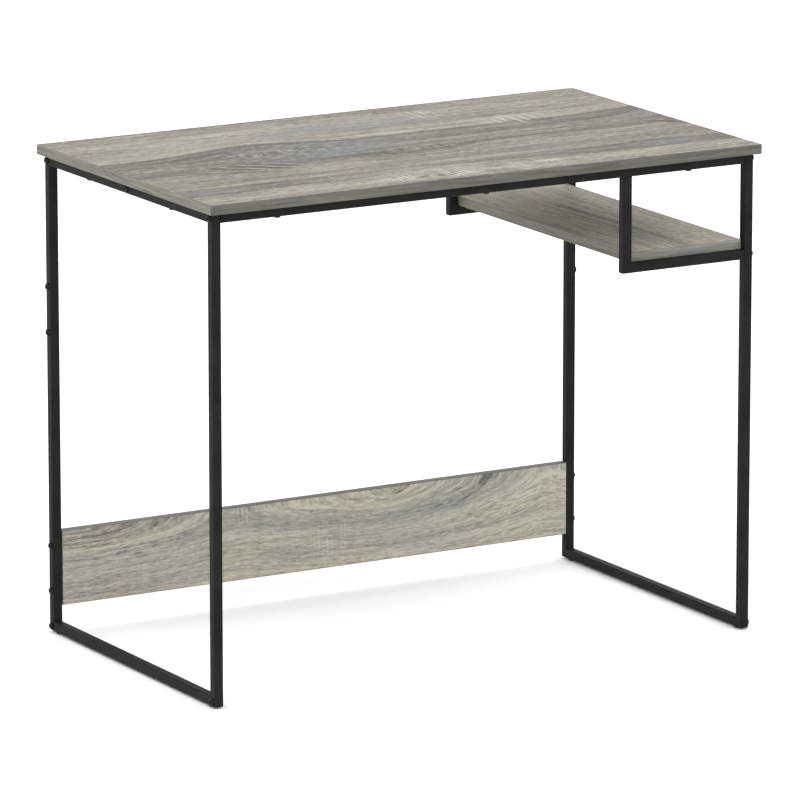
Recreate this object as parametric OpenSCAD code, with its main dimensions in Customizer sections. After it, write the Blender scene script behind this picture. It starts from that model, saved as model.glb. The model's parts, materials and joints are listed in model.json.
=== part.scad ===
// Desk with a square-tube steel frame, a low back panel and an open side shelf.
// Millimetres, +Z up, front towards -Y. The origin is on the floor, at the middle of the footprint.

/* [Overall size] */
// Width of the desktop, left to right
desk_w = 950; // [800:10:1400]
// Depth of the desktop, front to back
desk_d = 550; // [450:10:750]
// Height of the desktop's upper face above the floor
desk_h = 760; // [700:5:950]

/* [Boards] */
// Thickness of the desktop, the shelf and the back panel
board_t = 15; // [12:1:25]
// Thickness of the edge bands glued round each board
band_t = 1; // [0.5:0.1:2]
// How far the desktop stands out past each side frame
side_overhang = 7.5; // [4:0.5:40]
// How far the desktop stands out past the front and rear tubes
end_overhang = 11; // [0:0.5:40]

/* [Square tube] */
// Outer width of the tube
tube = 15; // [14:1:30]
// Wall thickness of the tube
tube_wall = 1.2; // [1:0.1:2]
// Outer corner radius of the tube
tube_r = 2; // [1:0.1:3]

/* [Side shelf] */
// Width of the shelf board
shelf_w = 200; // [150:5:350]
// Distance from the desktop's upper face down to the shelf's upper face
shelf_drop = 148; // [100:1:220]
// How far the ends of the shelf stop short of the tubes' outer faces
shelf_setback = 9.5; // [2:0.5:12]
// Width of the lugs that the shelf is screwed to
lug_w = 24; // [16:1:40]
// Thickness of the lugs
lug_t = 2; // [1.5:0.1:4]
// How far the lugs reach inwards from the arms
lug_reach = 22; // [18:1:40]
// Share of the shelf's width from its edges to the lugs
lug_share = 0.32; // [0.2:0.01:0.4]

/* [Back panel] */
// Height of the back panel
panel_h = 117; // [95:1:250]
// Height of the panel's lower edge above the floor
panel_z = 43; // [40:1:150]
// Height of its lower edge when it hangs from the upper bolt holes
upper_panel_z = 448.5; // [350:0.5:460]
// Distance between the two bolts at each end of the panel
panel_bolt_pitch = 71; // [40:1:75]

/* [Bolts] */
// Diameter of the machine bolts
bolt_d = 6; // [5:0.5:8]
// Diameter of the bolts' button heads
bolt_head_d = 11; // [9:0.5:14]
// Height of the button heads
bolt_head_h = 4.2; // [2.5:0.1:5]
// Height of the straight rim round the button heads
bolt_rim_h = 1.6; // [0.2:0.1:2]
// Width across the flats of the heads' hexagon sockets
bolt_socket = 4; // [3:0.5:5]
// Length of the rails' and arms' threaded end plugs
plug_l = 20; // [15:1:30]
// Length of each arm of the bottom corner connectors
connector_l = 34; // [30:1:38]
// Diameter of the threaded inserts in the panel's ends
insert_d = 10; // [9.5:0.5:11]
// Length of the threaded inserts
insert_l = 16; // [12:1:25]

/* [Wood screws] */
// Diameter of the screws' shanks
screw_d = 4.2; // [3:0.1:5]
// Diameter of the screws' pan heads
screw_head_d = 11; // [8:0.5:12]
// Height of the pan heads
screw_head_h = 2.4; // [1.5:0.1:3]
// How deep the screws reach into a board
screw_bite = 10; // [6:0.5:11]
// Distance from the desktop's ends to the outer screws of the front and rear rails
rail_screw_inset = 120; // [60:5:200]
// Distance from the desktop's front and back to the screws of the side rails
side_screw_inset = 145; // [60:5:200]

/* [Floor glides] */
// Diameter of the glides
glide_d = 12; // [10:0.5:14]
// Height of the glides below the runners
glide_h = 3; // [2:0.5:8]
// Distance from the runners' ends to the glides' centres
glide_inset = 20; // [15:1:28]
// Diameter of the glides' push-in stems
glide_stem_d = 6; // [5:0.5:8]

/* [Clearances] */
// Gap between a board's end and the steel beside it
board_gap = 0.5; // [0.2:0.1:2]
// Gap round a plug, connector or insert inside its tube or hole
plug_gap = 0.1; // [0.05:0.05:0.3]
// Radial gap between a bolt or screw and its clearance hole
hole_gap = 0.3; // [0.1:0.1:0.6]
// Radial gap left between a thread and its threaded hole
thread_gap = 0.05; // [0.02:0.01:0.1]

/* [Hidden] */
$fn = 48;

LEFT = -1;
RIGHT = 1;
FRONT = -1;
REAR = 1;

steel = "#2b2b2d";
wood = "#a39d90";
plastic = "#1c1c1c";
zinc = "#b9bcc0";

// Steel frame: outer faces, tube centrelines and inner faces
half_t = tube / 2;
frame_x = desk_w / 2 - side_overhang;
frame_y = desk_d / 2 - end_overhang;
frame_z = desk_h - board_t;
leg_x = frame_x - half_t;
leg_y = frame_y - half_t;
inner_x = frame_x - tube;
rail_z = frame_z - half_t;
runner_z = glide_h + half_t;
bore_r = max(tube_r - tube_wall, 0.2);
bore_t = tube - 2 * tube_wall;
plug_size = bore_t - 2 * plug_gap - 0.6 * bore_r;

// Side shelf: it lies between the drop tubes and the right-hand legs, on the two arms
shelf_top = desk_h - shelf_drop;
shelf_bottom = shelf_top - board_t;
arm_z = shelf_bottom - half_t;
shelf_x1 = inner_x - board_gap;
shelf_x0 = shelf_x1 - shelf_w;
shelf_y = frame_y - shelf_setback;
drop_x = shelf_x0 - board_gap - half_t;
lug_x = [shelf_x0 + lug_share * shelf_w, shelf_x1 - lug_share * shelf_w];
lug_y = frame_y - tube - lug_reach / 2;

// Back panel: it fills the depth of the rear legs
panel_x = inner_x - board_gap;
panel_y = leg_y;
panel_bolts_z = bolt_pair(panel_z);
spare_bolts_z = bolt_pair(upper_panel_z);

// Screws that hold the desktop
rail_screw_x = desk_w / 2 - rail_screw_inset;
side_screw_y = desk_d / 2 - side_screw_inset;

// Fasteners
bolt_r = bolt_d / 2;
bolt_hole_r = bolt_r + hole_gap;
socket_r = bolt_socket / 2 / cos(30);
socket_depth = 0.6 * bolt_head_h;
plug_bolt_l = tube + 0.8 * plug_l;
insert_bolt_l = tube + board_gap + 0.85 * insert_l;
corner_bolt_l = tube - tube_wall - 1;
rivet_flange_t = 0.5;
rivet_r = bolt_r + 1.5;
rivet_l = 0.7 * tube;
spare_bolt_l = rivet_l - 1;
screw_r = screw_d / 2;
screw_hole_r = screw_r + hole_gap;
screw_tip = 1.2 * screw_d;
screw_room = 0.5;
stem_r = glide_stem_d / 2;
stem_l = 0.5 * tube;

// Heights of the two bolts in each end of a panel whose lower edge is at z
function bolt_pair(z) = [for (s = [-1, 1]) z + panel_h / 2 + s * panel_bolt_pitch / 2];

// ---------- Shared shapes ----------

// Square with rounded corners, centred
module rounded_square(size, r) {
  square([size, size - 2 * r], center = true);
  square([size - 2 * r, size], center = true);
  for (x = [-1, 1], y = [-1, 1])
    translate([x * (size / 2 - r), y * (size / 2 - r)]) circle(r);
}

// Wall section of the square tube
module tube_profile() {
  difference() {
    rounded_square(tube, tube_r);
    rounded_square(bore_t, bore_r);
  }
}

// Straight tube of a given length, centred, along X, Y or Z
module tube_x(l) { rotate([0, 90, 0]) linear_extrude(l, center = true) tube_profile(); }
module tube_y(l) { rotate([90, 0, 0]) linear_extrude(l, center = true) tube_profile(); }
module tube_z(l) { linear_extrude(l, center = true) tube_profile(); }

// Prism across a tube that stands in the YZ plane, from its outline [y, z]
module side_prism(points) {
  rotate([90, 0, 90]) linear_extrude(tube, center = true) polygon(points);
}

// Prism across a tube that stands in the XZ plane, from its outline [x, z]
module front_prism(points) {
  rotate([90, 0, 0]) linear_extrude(tube, center = true) polygon(points);
}

// Puts its children, made for the right-hand side, on either side
module on_side(side) {
  if (side == RIGHT) children();
  else mirror([1, 0, 0]) children();
}

// Points local +Z outwards from the outer face of the right-hand frame
module at_face(y, z) {
  translate([frame_x, y, z]) rotate([0, 90, 0]) children();
}

// Clearance holes through both walls, or through the outer wall only
module through_hole(y, z) {
  at_face(y, z) translate([0, 0, -tube - 1]) cylinder(h = tube + 2, r = bolt_hole_r);
}
module outer_hole(y, z, r) {
  at_face(y, z) translate([0, 0, -tube_wall - 0.5]) cylinder(h = tube_wall + 1, r = r);
}

// Vertical clearance hole through a tube whose centreline is at height z
module screw_hole(x, y, z) {
  translate([x, y, z]) cylinder(h = tube + 2, r = screw_hole_r, center = true);
}

// Button-head bolt: the head stands on z = 0 and the shank points down
module bolt(l) {
  dome_h = bolt_head_h - bolt_rim_h;
  dome_r = (pow(bolt_head_d / 2, 2) + pow(dome_h, 2)) / (2 * dome_h);
  difference() {
    union() {
      translate([0, 0, bolt_rim_h]) intersection() {
        translate([0, 0, dome_h - dome_r]) sphere(dome_r);
        cylinder(h = bolt_head_h, r = bolt_head_d / 2 - 0.2);
      }
      cylinder(h = bolt_rim_h, r = bolt_head_d / 2);
      translate([0, 0, -l]) cylinder(h = l, r = bolt_r - thread_gap);
    }
    translate([0, 0, bolt_head_h - socket_depth])
      cylinder(h = bolt_head_h, r = socket_r, $fn = 6);
  }
}

// Pan-head wood screw: the head hangs below z = 0 and the point is up
module wood_screw(l) {
  rim = 0.35 * screw_head_h;
  difference() {
    union() {
      translate([0, 0, -rim]) cylinder(h = rim, r = screw_head_d / 2);
      translate([0, 0, -screw_head_h])
        cylinder(h = screw_head_h - rim, r1 = 0.7 * screw_head_d / 2, r2 = screw_head_d / 2);
      cylinder(h = l - screw_tip, r = screw_r);
      translate([0, 0, l - screw_tip]) cylinder(h = screw_tip, r1 = screw_r, r2 = 0.3);
    }
    for (a = [0, 90]) rotate(a)
      translate([-0.25 * screw_head_d, -0.5, -screw_head_h - 1])
        cube([0.5 * screw_head_d, 1, 1 + 0.5 * screw_head_h]);
  }
}

// Pilot hole in a board for a wood screw whose bite starts at z = 0
module pilot_hole() {
  translate([0, 0, -1]) cylinder(h = 1 + screw_bite + screw_room, r = screw_r + thread_gap);
}

// Board core from its lowest corner, its size and the band thickness taken off two axes
module board_core(lo, size, band) {
  translate(lo + band) cube(size - 2 * band);
}

// Pair of edge bands on the faces that look along an axis: 0 = X, 1 = Y, 2 = Z.
// The band runs between the other pair of bands where short is true.
module band_pair(lo, size, axis, other, short) {
  trim = [for (i = [0 : 2]) (short && i == other) ? band_t : 0];
  thin = [for (i = [0 : 2]) i == axis ? band_t : size[i] - 2 * trim[i]];
  for (far = [0, 1])
    translate(lo + trim + [for (i = [0 : 2]) i == axis ? far * (size[i] - band_t) : 0])
      cube(thin);
}

// ---------- Boards ----------

desktop_lo = [-desk_w / 2, -desk_d / 2, frame_z];
desktop_size = [desk_w, desk_d, board_t];
shelf_lo = [shelf_x0, -shelf_y, shelf_bottom];
shelf_size = [shelf_w, 2 * shelf_y, board_t];
panel_lo = [-panel_x, panel_y - board_t / 2, panel_z];
panel_size = [2 * panel_x, board_t, panel_h];

module desktop() {
  color(wood) difference() {
    board_core(desktop_lo, desktop_size, [band_t, band_t, 0]);
    for (x = [-rail_screw_x, 0, rail_screw_x], y = [-leg_y, leg_y])
      translate([x, y, frame_z]) pilot_hole();
    for (x = [-leg_x, leg_x], y = [-side_screw_y, side_screw_y])
      translate([x, y, frame_z]) pilot_hole();
  }
}
module desktop_long_bands() { color(wood) band_pair(desktop_lo, desktop_size, 1, 0, false); }
module desktop_short_bands() { color(wood) band_pair(desktop_lo, desktop_size, 0, 1, true); }

module shelf() {
  color(wood) difference() {
    board_core(shelf_lo, shelf_size, [band_t, band_t, 0]);
    for (x = lug_x, y = [-lug_y, lug_y]) translate([x, y, shelf_bottom]) pilot_hole();
  }
}
module shelf_long_bands() { color(wood) band_pair(shelf_lo, shelf_size, 0, 1, false); }
module shelf_short_bands() { color(wood) band_pair(shelf_lo, shelf_size, 1, 0, true); }

module back_panel() {
  color(wood) difference() {
    board_core(panel_lo, panel_size, [band_t, 0, band_t]);
    for (side = [LEFT, RIGHT], z = panel_bolts_z)
      on_side(side) at_face(panel_y, z)
        translate([0, 0, -tube - board_gap - insert_l - 1])
          cylinder(h = insert_l + 2, r = insert_d / 2 + plug_gap);
  }
}
module panel_long_bands() { color(wood) band_pair(panel_lo, panel_size, 2, 0, false); }
module panel_short_bands() {
  color(wood) difference() {
    band_pair(panel_lo, panel_size, 0, 2, true);
    for (side = [LEFT, RIGHT], z = panel_bolts_z)
      on_side(side) at_face(panel_y, z)
        translate([0, 0, -tube - insert_l])
          cylinder(h = insert_l, r = insert_d / 2 + plug_gap);
  }
}

// ---------- Side frames: two legs, a top rail and a runner, mitred at the corners ----------

// Leg with mitred ends; the mitres rise towards the outer face at end = FRONT or REAR
module leg(end) {
  outer = end * frame_y;
  inner = end * (frame_y - tube);
  intersection() {
    translate([leg_x, end * leg_y, (glide_h + frame_z) / 2]) tube_z(frame_z - glide_h);
    translate([leg_x, 0, 0]) side_prism([
      [outer, glide_h], [outer, frame_z], [inner, frame_z - tube], [inner, glide_h + tube]]);
  }
}

// Leg with its holes: frame bolt, corner bolt, and those for the panel or the shelf
module drilled_leg(side, end) {
  color(steel) on_side(side) difference() {
    leg(end);
    through_hole(end * leg_y, rail_z);
    outer_hole(end * leg_y, runner_z, bolt_hole_r);
    if (side == RIGHT) through_hole(end * leg_y, arm_z);
    if (end == REAR) {
      for (z = panel_bolts_z) through_hole(leg_y, z);
      for (z = spare_bolts_z) outer_hole(leg_y, z, rivet_r + plug_gap);
    }
  }
}
module left_front_leg() { drilled_leg(LEFT, FRONT); }
module left_rear_leg() { drilled_leg(LEFT, REAR); }
module right_front_leg() { drilled_leg(RIGHT, FRONT); }
module right_rear_leg() { drilled_leg(RIGHT, REAR); }

// Top rail of a side frame, mitred to the legs, with the bolt and screw holes
module side_rail(side) {
  low = frame_z - tube;
  color(steel) on_side(side) difference() {
    intersection() {
      translate([leg_x, 0, rail_z]) tube_y(2 * frame_y);
      translate([leg_x, 0, 0]) side_prism([
        [-frame_y, frame_z], [frame_y, frame_z], [frame_y - tube, low], [tube - frame_y, low]]);
    }
    for (y = [-leg_y, 0, leg_y]) through_hole(y, rail_z);
    for (y = [-side_screw_y, side_screw_y]) screw_hole(leg_x, y, rail_z);
  }
}
module left_side_rail() { side_rail(LEFT); }
module right_side_rail() { side_rail(RIGHT); }

// Runner of a side frame, mitred to the legs, with the corner bolt and glide holes
module runner(side) {
  high = glide_h + tube;
  color(steel) on_side(side) difference() {
    intersection() {
      translate([leg_x, 0, runner_z]) tube_y(2 * frame_y);
      translate([leg_x, 0, 0]) side_prism([
        [-frame_y, glide_h], [frame_y, glide_h], [frame_y - tube, high], [tube - frame_y, high]]);
    }
    for (end = [FRONT, REAR]) {
      outer_hole(end * leg_y, runner_z, bolt_hole_r);
      translate([leg_x, end * (frame_y - glide_inset), glide_h - 1])
        cylinder(h = tube_wall + 2, r = stem_r + plug_gap);
    }
  }
}
module left_runner() { runner(LEFT); }
module right_runner() { runner(RIGHT); }

// Elbow inside a bottom corner; the corner bolt and a glide's stem go into it
module connector(side, end) {
  middle = (connector_l - plug_size) / 2;
  color(zinc) on_side(side) translate([leg_x, end * leg_y, runner_z]) difference() {
    union() {
      translate([0, 0, middle]) cube([plug_size, plug_size, connector_l], center = true);
      translate([0, -end * middle, 0]) cube([plug_size, connector_l, plug_size], center = true);
    }
    rotate([0, 90, 0]) cylinder(h = tube, r = bolt_r, center = true);
    translate([0, -end * (glide_inset - half_t), -half_t])
      cylinder(h = tube_wall + stem_l, r = stem_r + plug_gap);
  }
}
module left_front_connector() { connector(LEFT, FRONT); }
module left_rear_connector() { connector(LEFT, REAR); }
module right_front_connector() { connector(RIGHT, FRONT); }
module right_rear_connector() { connector(RIGHT, REAR); }

// ---------- Rails across the desk ----------

module cross_rail(y, screw_x) {
  color(steel) difference() {
    translate([0, y, rail_z]) tube_x(2 * inner_x);
    for (x = screw_x) screw_hole(x, y, rail_z);
  }
}
module front_rail() { cross_rail(-leg_y, [-rail_screw_x, 0, rail_screw_x]); }
module centre_rail() { cross_rail(0, []); }
module rear_rail() { cross_rail(leg_y, [-rail_screw_x, 0, rail_screw_x]); }

// Threaded plug welded into the right-hand end of a tube along X, flush with its mouth
module end_plug(y, z) {
  color(zinc) translate([inner_x - plug_l / 2, y, z]) rotate([0, 90, 0])
    linear_extrude(plug_l, center = true) difference() {
      square(plug_size, center = true);
      circle(bolt_r);
    }
}
module rail_plugs(y) { for (side = [LEFT, RIGHT]) on_side(side) end_plug(y, rail_z); }
module front_rail_plugs() { rail_plugs(-leg_y); }
module centre_rail_plugs() { rail_plugs(0); }
module rear_rail_plugs() { rail_plugs(leg_y); }
module shelf_arm_plugs() { for (end = [FRONT, REAR]) end_plug(end * leg_y, arm_z); }

// ---------- Shelf brackets: a drop tube under a rail, mitred to an arm ----------

module drop_tube(end) {
  top = frame_z - tube;
  color(steel) intersection() {
    translate([drop_x, end * leg_y, (top + arm_z - half_t) / 2]) tube_z(top - arm_z + half_t);
    translate([0, end * leg_y, 0]) front_prism([
      [drop_x - half_t, top], [drop_x + half_t, top],
      [drop_x + half_t, arm_z + half_t], [drop_x - half_t, arm_z - half_t]]);
  }
}
module shelf_arm(end) {
  start = drop_x - half_t;
  color(steel) intersection() {
    translate([(start + inner_x) / 2, end * leg_y, arm_z]) tube_x(inner_x - start);
    translate([0, end * leg_y, 0]) front_prism([
      [start, arm_z - half_t], [inner_x, arm_z - half_t],
      [inner_x, arm_z + half_t], [start + tube, arm_z + half_t]]);
  }
}
module shelf_lugs(end) {
  color(steel) for (x = lug_x) translate([x, end * lug_y, shelf_bottom - lug_t / 2]) difference() {
    cube([lug_w, lug_reach, lug_t], center = true);
    cylinder(h = lug_t + 1, r = screw_hole_r, center = true);
  }
}
module front_drop_tube() { drop_tube(FRONT); }
module front_shelf_arm() { shelf_arm(FRONT); }
module front_shelf_lugs() { shelf_lugs(FRONT); }
module rear_drop_tube() { drop_tube(REAR); }
module rear_shelf_arm() { shelf_arm(REAR); }
module rear_shelf_lugs() { shelf_lugs(REAR); }

// ---------- Bolts, inserts and nuts ----------

// Bolts of one length on an outer face, at the places [y, z]
module face_bolts(side, places, l) {
  color(plastic) on_side(side) for (p = places) at_face(p[0], p[1]) bolt(l);
}
module frame_bolts(side) {
  face_bolts(side, [for (y = [-leg_y, 0, leg_y]) [y, rail_z]], plug_bolt_l);
}
module corner_bolts(side) {
  face_bolts(side, [for (y = [-leg_y, leg_y]) [y, runner_z]], corner_bolt_l);
}
module panel_bolts(side) {
  face_bolts(side, [for (z = panel_bolts_z) [leg_y, z]], insert_bolt_l);
}
module left_frame_bolts() { frame_bolts(LEFT); }
module right_frame_bolts() { frame_bolts(RIGHT); }
module left_corner_bolts() { corner_bolts(LEFT); }
module right_corner_bolts() { corner_bolts(RIGHT); }
module left_panel_bolts() { panel_bolts(LEFT); }
module right_panel_bolts() { panel_bolts(RIGHT); }
module shelf_arm_bolts() {
  face_bolts(RIGHT, [for (y = [-leg_y, leg_y]) [y, arm_z]], plug_bolt_l);
}

// Threaded inserts in one end of the back panel
module panel_inserts(side) {
  color(zinc) on_side(side) for (z = panel_bolts_z) at_face(panel_y, z)
    translate([0, 0, -tube - board_gap - insert_l]) difference() {
      cylinder(h = insert_l, r = insert_d / 2);
      translate([0, 0, -1]) cylinder(h = insert_l + 2, r = bolt_r);
    }
}
module left_panel_inserts() { panel_inserts(LEFT); }
module right_panel_inserts() { panel_inserts(RIGHT); }

// Short bolts kept in the upper panel holes, and the rivet nuts they screw into
module spare_bolts(side) {
  color(plastic) on_side(side) for (z = spare_bolts_z) at_face(leg_y, z)
    translate([0, 0, rivet_flange_t]) bolt(spare_bolt_l);
}
module rivet_nuts(side) {
  color(zinc) on_side(side) for (z = spare_bolts_z) at_face(leg_y, z) difference() {
    union() {
      cylinder(h = rivet_flange_t, r = rivet_r + 0.5);
      translate([0, 0, -rivet_l]) cylinder(h = rivet_l, r = rivet_r);
    }
    translate([0, 0, -rivet_l - 1]) cylinder(h = rivet_l + 2, r = bolt_r);
  }
}
module left_spare_bolts() { spare_bolts(LEFT); }
module right_spare_bolts() { spare_bolts(RIGHT); }
module left_rivet_nuts() { rivet_nuts(LEFT); }
module right_rivet_nuts() { rivet_nuts(RIGHT); }

// ---------- Wood screws ----------

module rail_screws(places) {
  color(plastic) for (p = places)
    translate([p[0], p[1], frame_z - tube]) wood_screw(tube + screw_bite);
}
module shelf_screws(end) {
  color(plastic) for (x = lug_x)
    translate([x, end * lug_y, shelf_bottom - lug_t]) wood_screw(lug_t + screw_bite);
}
module front_rail_screws() { rail_screws([for (i = [-1 : 1]) [i * rail_screw_x, -leg_y]]); }
module rear_rail_screws() { rail_screws([for (i = [-1 : 1]) [i * rail_screw_x, leg_y]]); }
module left_rail_screws() { rail_screws([for (i = [-1, 1]) [-leg_x, i * side_screw_y]]); }
module right_rail_screws() { rail_screws([for (i = [-1, 1]) [leg_x, i * side_screw_y]]); }
module front_shelf_screws() { shelf_screws(FRONT); }
module rear_shelf_screws() { shelf_screws(REAR); }

// ---------- Floor glides ----------

// Push-in glide: a foot with an eased lower edge, and a stem through the runner's lower wall
module glide(side, end) {
  ease = 0.3 * glide_h;
  color(plastic) on_side(side)
    translate([leg_x, end * (frame_y - glide_inset), 0]) {
      cylinder(h = ease, r1 = glide_d / 2 - ease, r2 = glide_d / 2);
      translate([0, 0, ease]) cylinder(h = glide_h - ease, r = glide_d / 2);
      translate([0, 0, glide_h]) cylinder(h = stem_l, r = stem_r);
    }
}
module left_front_glide() { glide(LEFT, FRONT); }
module left_rear_glide() { glide(LEFT, REAR); }
module right_front_glide() { glide(RIGHT, FRONT); }
module right_rear_glide() { glide(RIGHT, REAR); }

desktop();
desktop_long_bands();
desktop_short_bands();
shelf();
shelf_long_bands();
shelf_short_bands();
back_panel();
panel_long_bands();
panel_short_bands();
left_front_leg();
left_rear_leg();
left_side_rail();
left_runner();
right_front_leg();
right_rear_leg();
right_side_rail();
right_runner();
front_rail();
centre_rail();
rear_rail();
front_drop_tube();
front_shelf_arm();
front_shelf_lugs();
rear_drop_tube();
rear_shelf_arm();
rear_shelf_lugs();
front_rail_plugs();
centre_rail_plugs();
rear_rail_plugs();
shelf_arm_plugs();
left_front_connector();
left_rear_connector();
right_front_connector();
right_rear_connector();
left_frame_bolts();
right_frame_bolts();
shelf_arm_bolts();
left_corner_bolts();
right_corner_bolts();
left_panel_bolts();
right_panel_bolts();
left_panel_inserts();
right_panel_inserts();
left_spare_bolts();
right_spare_bolts();
left_rivet_nuts();
right_rivet_nuts();
front_rail_screws();
rear_rail_screws();
left_rail_screws();
right_rail_screws();
front_shelf_screws();
rear_shelf_screws();
left_front_glide();
left_rear_glide();
right_front_glide();
right_rear_glide();
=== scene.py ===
"""A small steel-framed desk with an open side shelf: its materials, light and camera.

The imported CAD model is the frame. Every piece keeps its place and size from there; this script
eases its edges, gives each piece a procedural material, and sets the stage. Lengths are metres.
"""

import json
import math

import bpy
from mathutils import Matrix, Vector


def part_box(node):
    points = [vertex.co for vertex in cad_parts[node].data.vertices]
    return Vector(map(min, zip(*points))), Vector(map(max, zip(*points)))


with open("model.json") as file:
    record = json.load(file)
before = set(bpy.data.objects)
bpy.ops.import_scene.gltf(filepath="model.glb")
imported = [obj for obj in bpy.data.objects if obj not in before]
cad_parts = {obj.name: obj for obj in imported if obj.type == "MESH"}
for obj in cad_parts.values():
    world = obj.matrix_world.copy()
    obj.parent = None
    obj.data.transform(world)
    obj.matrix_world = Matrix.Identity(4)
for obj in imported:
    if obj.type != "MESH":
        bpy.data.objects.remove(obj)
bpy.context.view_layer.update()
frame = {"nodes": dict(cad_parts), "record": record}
nodes = frame["nodes"]


def srgb(red, green, blue):
    """A colour given as 0 to 255 on screen, as the linear RGBA that Blender works in."""
    def linear(channel):
        c = channel / 255
        return c / 12.92 if c <= 0.04045 else ((c + 0.055) / 1.055) ** 2.4
    return (linear(red), linear(green), linear(blue), 1.0)


# ---------- Shader formulas ----------


class Value:
    """A number at each point of a surface. Arithmetic on it adds the nodes that work it out."""

    def __init__(self, shader, socket):
        self.shader = shader
        self.socket = socket

    def __add__(self, other):
        return self.shader.math("ADD", self, other)

    def __sub__(self, other):
        return self.shader.math("SUBTRACT", self, other)

    def __rsub__(self, other):
        return self.shader.math("SUBTRACT", other, self)

    def __mul__(self, other):
        return self.shader.math("MULTIPLY", self, other)

    def __truediv__(self, other):
        return self.shader.math("DIVIDE", self, other)

    __radd__ = __add__
    __rmul__ = __mul__

    def clamped(self):
        """The same number, kept from 0 to 1."""
        kept = self.shader.math("ADD", self, 0.0)
        kept.socket.node.use_clamp = True
        return kept


class Shader:
    """A Principled material whose sockets are fed by formulas in the row frame's coordinates."""

    def __init__(self, name, **constants):
        self.material = bpy.data.materials.new(name)
        self.material.use_nodes = True
        self.tree = self.material.node_tree
        self.surface = self.tree.nodes["Principled BSDF"]
        for socket, number in constants.items():
            self.surface.inputs[socket.replace("_", " ")].default_value = number
        place = self.node("ShaderNodeTexCoord")
        axes = self.node("ShaderNodeSeparateXYZ")
        self.tree.links.new(place.outputs["Object"], axes.inputs[0])
        self.x, self.y, self.z = (Value(self, axes.outputs[i]) for i in range(3))

    def node(self, kind, **settings):
        made = self.tree.nodes.new(kind)
        for name, setting in settings.items():
            setattr(made, name, setting)
        return made

    def feed(self, socket, source):
        """Gives a socket a Value, another socket or a plain constant."""
        if isinstance(source, Value):
            source = source.socket
        if isinstance(source, bpy.types.NodeSocket):
            self.tree.links.new(source, socket)
        else:
            socket.default_value = source

    def math(self, operation, *terms):
        made = self.node("ShaderNodeMath", operation=operation)
        for socket, term in zip(made.inputs, terms):
            self.feed(socket, term)
        return Value(self, made.outputs[0])

    def vector(self, a, b, c):
        made = self.node("ShaderNodeCombineXYZ")
        for socket, part in zip(made.inputs, (a, b, c)):
            self.feed(socket, part)
        return made.outputs[0]

    def noise(self, a, b, c=0.0, detail=2.0, roughness=0.5):
        """Smooth noise from 0 to 1 at a point given by three numbers; a unit is one lump."""
        made = self.node("ShaderNodeTexNoise")
        self.feed(made.inputs["Vector"], self.vector(a, b, c))
        made.inputs["Scale"].default_value = 1.0
        made.inputs["Detail"].default_value = detail
        made.inputs["Roughness"].default_value = roughness
        return Value(self, made.outputs["Fac"])

    def rise(self, value, low, high, shape="SMOOTHSTEP"):
        """0 below low, 1 above high, and a slope of the given shape between."""
        made = self.node("ShaderNodeMapRange", interpolation_type=shape)
        for socket, source in zip(made.inputs, (value, low, high, 0.0, 1.0)):
            self.feed(socket, source)
        return Value(self, made.outputs[0])

    def window(self, value, low, high, soft):
        """1 from low to high, with soft shoulders outside them."""
        return self.rise(value, low - soft, low) * (1.0 - self.rise(value, high, high + soft))

    def hill(self, value, centre, half_width):
        """1 at the centre, falling smoothly to 0 half a width to either side."""
        distance = self.math("ABSOLUTE", value - centre)
        return 1.0 - self.rise(distance, 0.0, half_width)

    def ramp(self, value, stops):
        """Colours or tones at places from 0 to 1: {place: colour}."""
        made = self.node("ShaderNodeValToRGB")
        points = made.color_ramp.elements
        while len(points) < len(stops):
            points.new(0.5)
        for point, (place, colour) in zip(points, sorted(stops.items())):
            point.position = place
            point.color = colour if isinstance(colour, tuple) else (colour, colour, colour, 1.0)
        self.feed(made.inputs["Fac"], value)
        return made.outputs["Color"]

    def mix(self, share, a, b):
        """Colour a, with the given share of colour b."""
        made = self.node("ShaderNodeMix", data_type="RGBA")
        for name, source in (("Factor_Float", share), ("A_Color", a), ("B_Color", b)):
            socket = next(s for s in made.inputs if s.identifier == name)
            self.feed(socket, source)
        return next(s for s in made.outputs if s.identifier == "Result_Color")

    def bump(self, height, depth):
        """Tilts the surface as if height, from 0 to 1, rose by depth metres."""
        made = self.node("ShaderNodeBump")
        made.inputs["Distance"].default_value = depth
        self.feed(made.inputs["Height"], height)
        self.feed(self.surface.inputs["Normal"], made.outputs[0])


# ---------- Wood-grain laminate ----------
#
# The prints are laid out in metres: u runs along the grain from the board's end, and v across it.

UMBER = srgb(76, 72, 65)
TAUPE = srgb(110, 106, 97)
ASH = srgb(136, 133, 123)
STRAW = srgb(156, 153, 139)
CREAM = srgb(180, 176, 160)
SMOKE = srgb(122, 130, 132)
ROSE = srgb(150, 139, 129)
SHADE = srgb(49, 50, 45)
# Painted light: the shelf's print is moved towards this pale colour, for the shade under the desktop.
PAINTED_LIGHT_PALE = srgb(216, 212, 196)
GRAIN_TONES = {0.0: UMBER, 0.25: TAUPE, 0.5: ASH, 0.75: STRAW, 1.0: CREAM}


def streak(shader, u, v, along, across, seed, detail=2.0, roughness=0.5):
    """Noise drawn out along the grain, centred on 0: along and across are lumps in a metre."""
    return shader.noise(u * along, v * across, seed, detail, roughness) - 0.5


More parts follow.
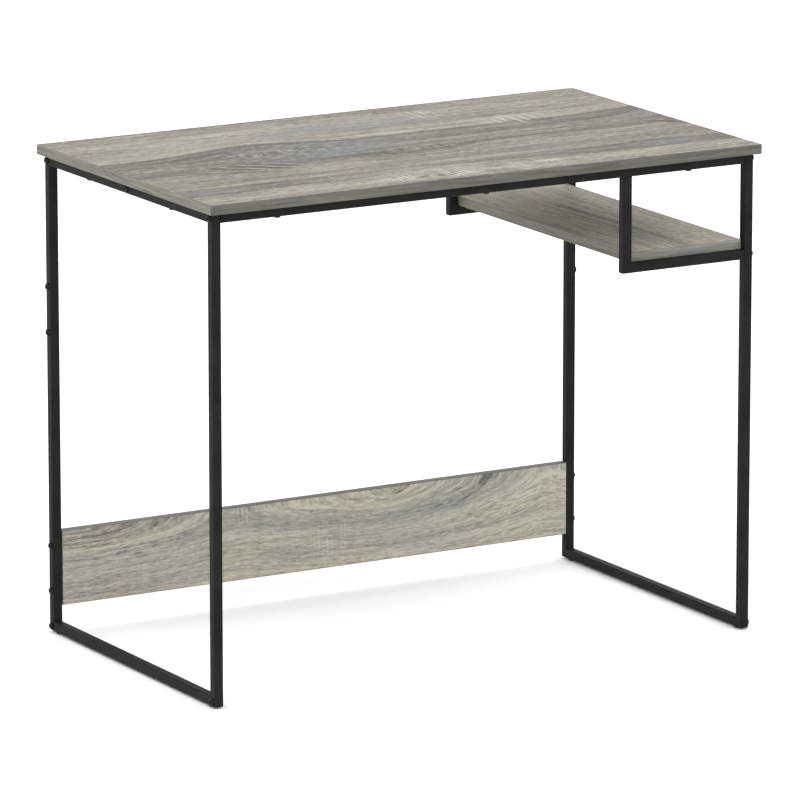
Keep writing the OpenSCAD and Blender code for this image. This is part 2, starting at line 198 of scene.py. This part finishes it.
def grain(shader, u, v, rings, bands, seed, cool=None, dashes=None, extra=None, shade=1.0,
          toward=SHADE, openness=1.0, figure=1.0):
    """Colours a printed oak grain that runs along u.

    rings is the distance across the growth rings, which the finer grain follows. bands is the
    slow change of tone across the board, and extra adds to it. cool and dashes, from 0 to 1, say
    where the print turns blue-grey and where its pores are long and dark. openness is how open and
    rough the fine grain is, and figure how strong the larger grain is. A shade below 1 moves the
    whole print that far towards the colour in toward.
    """
    sway = streak(shader, u, v, 9.0, 22.0, seed) * 0.007
    across = rings + sway
    slow = streak(shader, u, across, 1.6, 24.0, seed + 3.0)
    lines = streak(shader, u, across, 2.4, 95.0, seed + 7.0, 3.0, 0.6)
    fine = streak(shader, u, across, 9.0, 260.0, seed + 11.0, 3.0, 0.7)
    fibre = streak(shader, u, across, 60.0, 420.0, seed + 17.0, 3.0, 0.85) * openness
    pores = shader.rise(shader.noise(u * 48.0, across * 420.0, seed + 23.0, 1.0), 0.60, 0.68)
    crowd = shader.rise(shader.noise(u * 8.0, v * 30.0, seed + 27.0), 0.40, 0.62)
    tone = bands + (slow * 0.5 + lines * 0.95 + fine * 1.7) * figure + fibre * 2.3
    tone = tone - pores * crowd * (0.30 * openness)
    if dashes:
        strokes = shader.rise(shader.noise(u * 34.0, across * 300.0, seed + 31.0, 1.0), 0.56, 0.64)
        tone = tone - strokes * dashes * 0.42
    if extra:
        tone = tone + extra
    colour = shader.ramp(tone.clamped(), GRAIN_TONES)
    patches = shader.rise(shader.noise(u * 4.0, across * 15.0, seed + 29.0), 0.50, 0.72) * 0.55
    if cool:
        patches = patches + cool
    colour = shader.mix(patches.clamped(), colour, shader.mix(0.38, colour, SMOKE))
    warmth = shader.rise(shader.noise(u * 5.0, across * 34.0, seed + 37.0), 0.55, 0.72) * 0.35
    colour = shader.mix(warmth, colour, shader.mix(0.55, colour, ROSE))
    if shade != 1.0:
        colour = shader.mix(1.0 - shade, colour, toward)
    shader.feed(shader.surface.inputs["Base Color"], colour)
    shader.feed(shader.surface.inputs["Roughness"], 0.55 + fine * 0.15 + pores * 0.08)
    shader.bump(fine * 0.6 + fibre * 0.5 - pores * 0.6, 0.0001)


def saw_marks(shader, u, v, pitch, patches, seed):
    """Pale ticks across the grain, a print of old saw marks. patches are (u, v, half sizes)."""
    wobble = shader.noise(u * 30.0, v * 9.0, seed) * 0.004
    tick = shader.math("PINGPONG", u + wobble, pitch / 2) * (2 / pitch)
    total = None
    for mid_u, mid_v, half_u, half_v in patches:
        here = shader.hill(u, mid_u, half_u) * shader.hill(v, mid_v, half_v)
        total = here if total is None else total + here
    broken = shader.rise(shader.noise(u * 70.0, v * 22.0, seed + 2.0), 0.36, 0.52)
    return shader.rise(tick, 0.40, 0.75) * total * broken


def tone_bands(shader, v, width, stops):
    """Tones across a board from listed stops: {distance across in mm: tone from 0 to 1}."""
    places = {mm / (1000 * width): tone for mm, tone in stops.items()}
    return Value(shader, shader.ramp(v / width, places))


def growth_lines(shader, rings, pitch, u, seed, uneven=1.1):
    """Growth rings: each darkens slowly and ends in a thin pale line. Centred on 0."""
    jitter = shader.noise(u * 3.0, rings * 45.0, seed) * uneven
    turn = shader.math("FRACT", rings / pitch + jitter)
    pale = shader.rise(turn, 0.80, 0.90) * (1.0 - shader.rise(turn, 0.90, 1.0))
    return pale * 0.75 - shader.rise(turn, 0.1, 0.72, "LINEAR") * 0.42 + 0.10


def flame(shader, u, v, tip_u, tip_v, seed):
    """A dark flame in the print, to add to the tone: slanting pale rings behind a pointed tip."""
    along = u - tip_u
    below = v - tip_v + streak(shader, u, v, 16.0, 40.0, seed) * 0.010
    under = below - along * 0.50
    inside = shader.rise(below, -0.009, -0.003) * (1.0 - shader.rise(under, 0.002, 0.010))
    inside = inside * (1.0 - shader.rise(below, 0.030, 0.055))
    inside = inside * shader.window(along, 0.0, 0.120, 0.030)
    depth = along - below * 1.3 + streak(shader, u, v, 14.0, 30.0, seed + 1.0) * 0.020
    turn = shader.math("FRACT", depth * 28.0)
    pale = shader.rise(turn, 0.66, 0.74) * (1.0 - shader.rise(turn, 0.88, 0.96))
    dark = 1.0 - pale
    weight = 1.0 - shader.rise(along, 0.06, 0.14) * 0.6
    return inside * (pale * 0.60 - dark * weight * 1.05)


def wood(name, **constants):
    return Shader(name, IOR=1.45, Specular_IOR_Level=0.25, **constants)


def desktop_wood():
    """The desktop: grain along X, with one long dark heart and its pointed growth rings."""
    low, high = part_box("desktop")
    shader = wood("desktop_laminate")
    u, v = shader.x - low.x, high.y - shader.y
    arch = shader.hill(u, 0.26, 0.19) * shader.window(v, 0.165, 0.215, 0.05)
    rear_rise = shader.rise(u, 0.80, 1.0) * shader.window(v, 0.17, 0.22, 0.05)
    dip = shader.hill(u, 0.48, 0.17) * shader.window(v, 0.330, 0.375, 0.03)
    waist = shader.hill(u, 0.42, 0.30) * shader.window(v, 0.455, 0.50, 0.03)
    rings = v + arch * 0.033 + rear_rise * 0.022 - dip * 0.024 + waist * 0.020
    # The 0.11 taken off darkens the whole top print against the panel and shelf: partly painted shade,
    # evening the top's stronger light with their shade beneath it.
    bands = tone_bands(shader, rings, high.y - low.y, {
        0: 0.42, 30: 0.50, 65: 0.56, 110: 0.52, 140: 0.46, 158: 0.58, 195: 0.66, 204: 0.02,
        210: 0.30, 250: 0.32, 300: 0.34, 310: 0.16, 317: 0.38, 345: 0.46, 380: 0.48, 405: 0.40,
        430: 0.56, 441: 0.20, 450: 0.28, 480: 0.24, 496: 0.56, 525: 0.60, 548: 0.46}) - 0.11
    heart = shader.window(v, 0.195, 0.295, 0.03) * shader.hill(u, 0.33, 0.26)
    cool = shader.hill(u, 0.48, 0.22) * shader.hill(v, 0.105, 0.07) * 0.8
    cool = cool + heart * 0.35 + shader.hill(u, 0.44, 0.12) * shader.hill(v, 0.265, 0.06) * 0.35
    ends = shader.hill(u, 0.04, 0.12) + shader.hill(u, 0.83, 0.10)
    cool = cool + shader.hill(v, 0.462, 0.03) * ends * 0.6
    lined = shader.window(rings, 0.208, 0.250, 0.01) * (
        shader.hill(u, 0.24, 0.15) + shader.hill(u, 0.96, 0.16))
    arcs = shader.window(rings, 0.316, 0.375, 0.012) * shader.hill(u, 0.49, 0.22)
    marks = saw_marks(shader, u, v, 0.0165, [
        (0.73, 0.188, 0.080, 0.050), (0.62, 0.08, 0.04, 0.05)], 4.0)
    marks = marks + saw_marks(shader, u, v, 0.0090, [
        (0.345, 0.508, 0.050, 0.035), (0.445, 0.508, 0.070, 0.052), (0.545, 0.505, 0.030, 0.045),
        (0.605, 0.500, 0.035, 0.030)], 5.0)
    mottle = streak(shader, u, v, 60.0, 130.0, 83.0, 3.0, 0.75)
    extra = marks * 0.66 + mottle * heart * 2.6
    extra = extra + growth_lines(shader, rings, 0.0115, u, 2.0, 0.5) * (lined * 0.8 + arcs * 0.9)
    extra = extra + flame(shader, u, v, 0.128, 0.306, 61.0) + flame(shader, u, v, 0.90, 0.306, 63.0)
    under = shader.hill(v, 0.320 + shader.rise(u, 0.03, 0.27) * 0.060, 0.0060)
    extra = extra - under * (1.0 - shader.rise(u, 0.16, 0.28)) * 0.40
    extra = extra - shader.hill(rings, 0.205, 0.009) * shader.hill(u, 0.37, 0.075) * 0.60
    extra = extra - shader.hill(u, 0.213, 0.007) * shader.hill(v, 0.212, 0.006) * 0.8
    extra = extra + shader.hill(v, 0.462, 0.028) * shader.hill(u, 0.42, 0.24) * 0.28
    extra = extra + shader.hill(v, 0.100, 0.06) * shader.hill(u, 0.16, 0.20) * 0.10
    dashes = shader.window(v, 0.225, 0.30, 0.03) * shader.hill(u, 0.36, 0.24) * 0.9
    grain(shader, u, v, rings, bands, 1.0, cool=cool, dashes=dashes, extra=extra)
    return shader.material


def panel_wood():
    """The back panel: grain along X, with nested arches that rise to its upper edge."""
    low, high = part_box("back_panel")
    shader = wood("panel_laminate")
    u, v = shader.x - low.x, high.z - shader.z
    reach = None
    for start in (0.02, 0.59):
        one = shader.rise(u, start, start + 0.27, "LINEAR") * (
            1.0 - shader.rise(u, start + 0.28, start + 0.56) * 0.5)
        reach = one if reach is None else reach + one
    away = reach * 0.048
    from_heart = v + 0.004
    rings = shader.math("SQRT", from_heart * from_heart + away * away)
    bands = tone_bands(shader, rings, high.z - low.z, {
        0: 0.62, 14: 0.56, 30: 0.66, 42: 0.76, 52: 0.56, 60: 0.62, 76: 0.74, 92: 0.64, 115: 0.72})
    arches = growth_lines(shader, rings, 0.0088, u, 45.0)
    rising = shader.window(u, 0.0, 0.25, 0.06) + shader.window(u, 0.60, 0.84, 0.06)
    arches = arches * (1.0 - shader.rise(rings, 0.040, 0.062)) * (0.10 + rising * 0.60)
    # The print grows steadily lighter towards the panel's right end.
    lighter_to_right = shader.rise(u, 0.0, 0.92, "LINEAR") * 0.14 - 0.01
    dashes = shader.hill(rings, 0.056, 0.016) * 1.3 * (
        shader.hill(u, 0.14, 0.16) + shader.hill(u, 0.72, 0.16))
    cool = shader.hill(rings, 0.062, 0.025) * 0.8 + shader.window(v, 0.075, 0.10, 0.015) * 0.4
    marks = saw_marks(shader, u, v, 0.0080, [
        (0.47, 0.068, 0.045, 0.035), (0.310, 0.014, 0.030, 0.026), (0.885, 0.015, 0.025, 0.02)], 9.0)
    upper_lines = shader.hill(v, 0.009, 0.0022) + shader.hill(v, 0.017, 0.0018)
    extra = marks * 0.36 + arches + lighter_to_right + upper_lines * shader.hill(u, 0.36, 0.08) * 0.30
    grain(shader, u, v, rings, bands, 41.0, cool=cool, dashes=dashes, extra=extra, openness=0.85,
          figure=0.72)
    return shader.material


def shelf_wood():
    """The side shelf: grain along its depth, one dark vein, and painted light that lifts it to pale."""
    low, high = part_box("shelf")
    shader = wood("shelf_laminate")
    u, v = high.y - shader.y, shader.x - low.x
    rings = v - shader.rise(u, 0.10, 0.52) * 0.008
    bands = tone_bands(shader, rings, high.x - low.x, {
        0: 0.82, 25: 0.92, 50: 0.88, 75: 0.66, 92: 0.52, 103: 0.58, 112: 0.82, 140: 0.78,
        165: 0.94, 198: 0.88})
    marks = saw_marks(shader, u, v, 0.0095, [
        (0.06, 0.10, 0.06, 0.06), (0.40, 0.15, 0.06, 0.04)], 14.0)
    lined = shader.hill(rings, 0.085, 0.05) * shader.window(u, 0.16, 0.42, 0.08)
    specks = shader.window(v, 0.112, 0.21, 0.015) * shader.window(u, 0.16, 0.52, 0.06)
    extra = marks * 0.40 + growth_lines(shader, rings, 0.010, u, 71.0) * lined * 1.1
    extra = extra + streak(shader, u, v, 90.0, 170.0, 75.0, 3.0, 0.75) * specks * 2.2
    dark_vein = shader.hill(rings, 0.100, 0.0075) * shader.window(u, 0.18, 0.42, 0.05)
    extra = extra - dark_vein * 1.00 - shader.hill(u, 0.34, 0.20) * shader.hill(v, 0.06, 0.05) * 0.18
    dashes = shader.hill(u, 0.42, 0.20) * shader.hill(v, 0.15, 0.07)
    dashes = dashes + shader.hill(u, 0.20, 0.14) * shader.hill(v, 0.14, 0.06)
    cool = shader.hill(u, 0.40, 0.14) * shader.hill(v, 0.06, 0.05) * 0.5
    # Moving the print towards the pale colour is painted light, for the shade the shelf gets under the
    # desktop.
    grain(shader, u, v, rings, bands, 77.0, cool=cool, dashes=dashes, extra=extra, shade=0.88,
          toward=PAINTED_LIGHT_PALE, figure=1.5)
    return shader.material


def band_wood(name, along, seed, shade):
    """Edge banding: the same print, darker, with the grain along the band; its shade is partly print,
    partly painted shade.
    """
    shader = wood(name)
    u, v = (shader.x, shader.y) if along == "X" else (shader.y, shader.x)
    v = v + shader.z
    bands = 0.52 + streak(shader, u, v, 1.4, 70.0, seed + 31.0) * 0.6
    grain(shader, u, v, v, bands, seed, cool=0.45, shade=shade, openness=0.35)
    return shader.material


# ---------- Metal and plastic ----------


def powder_coat():
    """Matt black powder coat with the faint orange peel of a sprayed finish."""
    shader = Shader("black_powder_coat", IOR=1.5, Specular_IOR_Level=0.06)
    peel = shader.noise(shader.x * 900.0, shader.y * 900.0, shader.z * 900.0, detail=3.0)
    mottle = shader.noise(shader.x * 22.0, shader.y * 22.0, shader.z * 22.0, detail=4.0)
    colour = shader.mix(shader.rise(mottle, 0.35, 0.65), srgb(26, 26, 26), srgb(32, 32, 32))
    shader.feed(shader.surface.inputs["Base Color"], colour)
    shader.feed(shader.surface.inputs["Roughness"], 0.40 + mottle * 0.10 + peel * 0.08)
    shader.bump(peel, 0.00008)
    return shader.material


def black_oxide(name, roughness, dark, worn):
    """Blackened steel of the bolts and screws: dark, with patches worn lighter by handling."""
    shader = Shader(name, Metallic=1.0)
    rub = shader.noise(shader.x * 320.0, shader.y * 320.0, shader.z * 320.0, detail=4.0)
    tint = shader.mix(shader.rise(rub, 0.45, 0.75), dark, worn)
    shader.feed(shader.surface.inputs["Base Color"], tint)
    shader.feed(shader.surface.inputs["Roughness"], roughness + rub * 0.14)
    shader.bump(rub, 0.00003)
    return shader.material


def zinc_plate():
    """Zinc-plated steel of the plugs, connectors, inserts and rivet nuts."""
    shader = Shader("zinc_plate", Metallic=1.0)
    spangle = shader.noise(shader.x * 240.0, shader.y * 240.0, shader.z * 240.0, detail=3.0)
    tint = shader.mix(spangle, srgb(150, 153, 158), srgb(196, 198, 202))
    shader.feed(shader.surface.inputs["Base Color"], tint)
    shader.feed(shader.surface.inputs["Roughness"], 0.30 + spangle * 0.2)
    return shader.material


def moulded_plastic():
    """Black moulded polyethylene of the floor glides, scuffed where it meets the floor."""
    shader = Shader("glide_plastic", IOR=1.5, Specular_IOR_Level=0.4)
    skin = shader.noise(shader.x * 1500.0, shader.y * 1500.0, shader.z * 1500.0, detail=2.0)
    scuffs = shader.noise(shader.x * 600.0, shader.y * 90.0, shader.z * 600.0, detail=4.0)
    worn = shader.rise(scuffs, 0.5, 0.7) * (1.0 - shader.rise(shader.z, 0.0, 0.0012))
    shader.feed(shader.surface.inputs["Base Color"],
                shader.mix(worn, srgb(28, 28, 28), srgb(66, 65, 63)))
    shader.feed(shader.surface.inputs["Roughness"], 0.48 + worn * 0.25)
    shader.bump(skin, 0.00003)
    return shader.material


# ---------- Dressing the CAD pieces ----------


def dress(names, material):
    for name in names:
        slots = nodes[name].data.materials
        slots.clear()
        slots.append(material)


def ease_edges(names, radius, segments=3):
    """Rounds the sharp edges of CAD pieces by modifiers, so that they catch the light."""
    for name in names:
        piece = nodes[name]
        weld = piece.modifiers.new("weld", "WELD")
        weld.merge_threshold = 1e-6
        bevel = piece.modifiers.new("eased_edges", "BEVEL")
        bevel.width = radius
        bevel.segments = segments
        bevel.limit_method = "ANGLE"
        bevel.angle_limit = math.radians(35)
        bevel.use_clamp_overlap = True
        bevel.harden_normals = True


def slot_nodes(slot):
    """The CAD nodes whose record entry names this material slot."""
    parts = frame["record"]["subparts"]
    return [part["node"] for part in parts if part["material_slot"] == slot]


dress(["desktop"], desktop_wood())
dress(["back_panel"], panel_wood())
dress(["shelf"], shelf_wood())
# Each band's last number, its shade, is partly a darker print and partly painted light and shade, set
# band by band for how light falls on its faces.
dress(["desktop_long_bands"], band_wood("desktop_long_band_wood", "X", 120.0, 0.33))
dress(["desktop_short_bands"], band_wood("desktop_short_band_wood", "Y", 140.0, 0.58))
dress(["shelf_long_bands"], band_wood("shelf_long_band_wood", "Y", 160.0, 0.61))
dress(["shelf_short_bands"], band_wood("shelf_short_band_wood", "X", 180.0, 0.74))
dress(["panel_long_bands", "panel_short_bands"], band_wood("panel_band_wood", "X", 200.0, 0.45))
dress(slot_nodes("frame_paint"), powder_coat())
dress(slot_nodes("black_bolt"), black_oxide("blackened_bolt", 0.30, srgb(36, 36, 38), srgb(66, 66, 68)))
dress(slot_nodes("black_screw"), black_oxide("blackened_screw", 0.38, srgb(22, 22, 24), srgb(46, 46, 48)))
dress(slot_nodes("zinc_steel"), zinc_plate())
dress(slot_nodes("glide_plastic"), moulded_plastic())

# Under half of a band's 1 mm thickness: at half, its two roundings meet and leave open faces.
BAND_ROUNDING = 0.0004
STEEL_ROUNDING = 0.00025
FITTING_ROUNDING = 0.0002

ease_edges(slot_nodes("edge_band"), BAND_ROUNDING)
ease_edges(slot_nodes("frame_paint"), STEEL_ROUNDING, segments=2)
for slot in ("black_bolt", "black_screw", "glide_plastic"):
    ease_edges(slot_nodes(slot), FITTING_ROUNDING, segments=2)


# ---------- Stage ----------

CAMERA_AZIMUTH = -30.12
CAMERA_ELEVATION = 12.85
CAMERA_DISTANCE = 11.0
LENS = 323.7
AIM = Vector((0.014, 0.022, 0.357))
SENSOR_WIDTH = 36
VIEW_LIMIT = 200

SKY_STRENGTH = 1.12
KEY_AZIMUTH = -40
KEY_ELEVATION = 60
KEY_SPREAD = 115
KEY_STRENGTH = 1.55
LAMP_DISTANCE = 5.0

FLOOR_HALF = 40.0
FLOOR_COLOUR = (0.95, 0.95, 0.95, 1)
FLOOR_ROUGHNESS = 0.9
FLOOR_SPECULAR = 0.1


def aim(thing, place, target):
    """Puts a lamp or camera at a place, with its -Z axis towards the target."""
    thing.location = place
    thing.rotation_euler = (target - place).to_track_quat("-Z", "Y").to_euler()


def from_angles(azimuth, elevation, distance):
    """An offset towards the front: azimuth turns it to +X, elevation lifts it, both in degrees."""
    a, e = math.radians(azimuth), math.radians(elevation)
    return distance * Vector((math.sin(a) * math.cos(e), -math.cos(a) * math.cos(e), math.sin(e)))


def make_camera():
    lens = bpy.data.cameras.new("camera")
    lens.lens = LENS
    lens.sensor_width = SENSOR_WIDTH
    lens.clip_end = VIEW_LIMIT
    camera = bpy.data.objects.new("camera", lens)
    bpy.context.scene.collection.objects.link(camera)
    aim(camera, AIM + from_angles(CAMERA_AZIMUTH, CAMERA_ELEVATION, CAMERA_DISTANCE), AIM)
    bpy.context.scene.camera = camera


def make_sun(name, azimuth, elevation, spread, strength):
    """A distant soft lamp: spread is how wide it looks from the desk, in degrees."""
    data = bpy.data.lights.new(name, "SUN")
    data.angle = math.radians(spread)
    data.energy = strength
    lamp = bpy.data.objects.new(name, data)
    bpy.context.scene.collection.objects.link(lamp)
    aim(lamp, AIM + from_angles(azimuth, elevation, LAMP_DISTANCE), AIM)


def make_world(strength):
    world = bpy.data.worlds.new("studio")
    world.use_nodes = True
    sky = world.node_tree.nodes["Background"]
    sky.inputs["Color"].default_value = (1, 1, 1, 1)
    sky.inputs["Strength"].default_value = strength
    bpy.context.scene.world = world


def make_floor():
    half = FLOOR_HALF
    mesh = bpy.data.meshes.new("floor")
    corners = [(-half, -half, 0), (half, -half, 0), (half, half, 0), (-half, half, 0)]
    mesh.from_pydata(corners, [], [(0, 1, 2, 3)])
    floor = bpy.data.objects.new("floor", mesh)
    bpy.context.scene.collection.objects.link(floor)
    material = bpy.data.materials.new("floor")
    material.use_nodes = True
    surface = material.node_tree.nodes["Principled BSDF"]
    surface.inputs["Base Color"].default_value = FLOOR_COLOUR
    surface.inputs["Roughness"].default_value = FLOOR_ROUGHNESS
    surface.inputs["Specular IOR Level"].default_value = FLOOR_SPECULAR
    mesh.materials.append(material)


make_camera()
make_world(SKY_STRENGTH)
make_sun("key", KEY_AZIMUTH, KEY_ELEVATION, KEY_SPREAD, KEY_STRENGTH)
make_floor()
bpy.context.scene.view_settings.view_transform = "Standard"
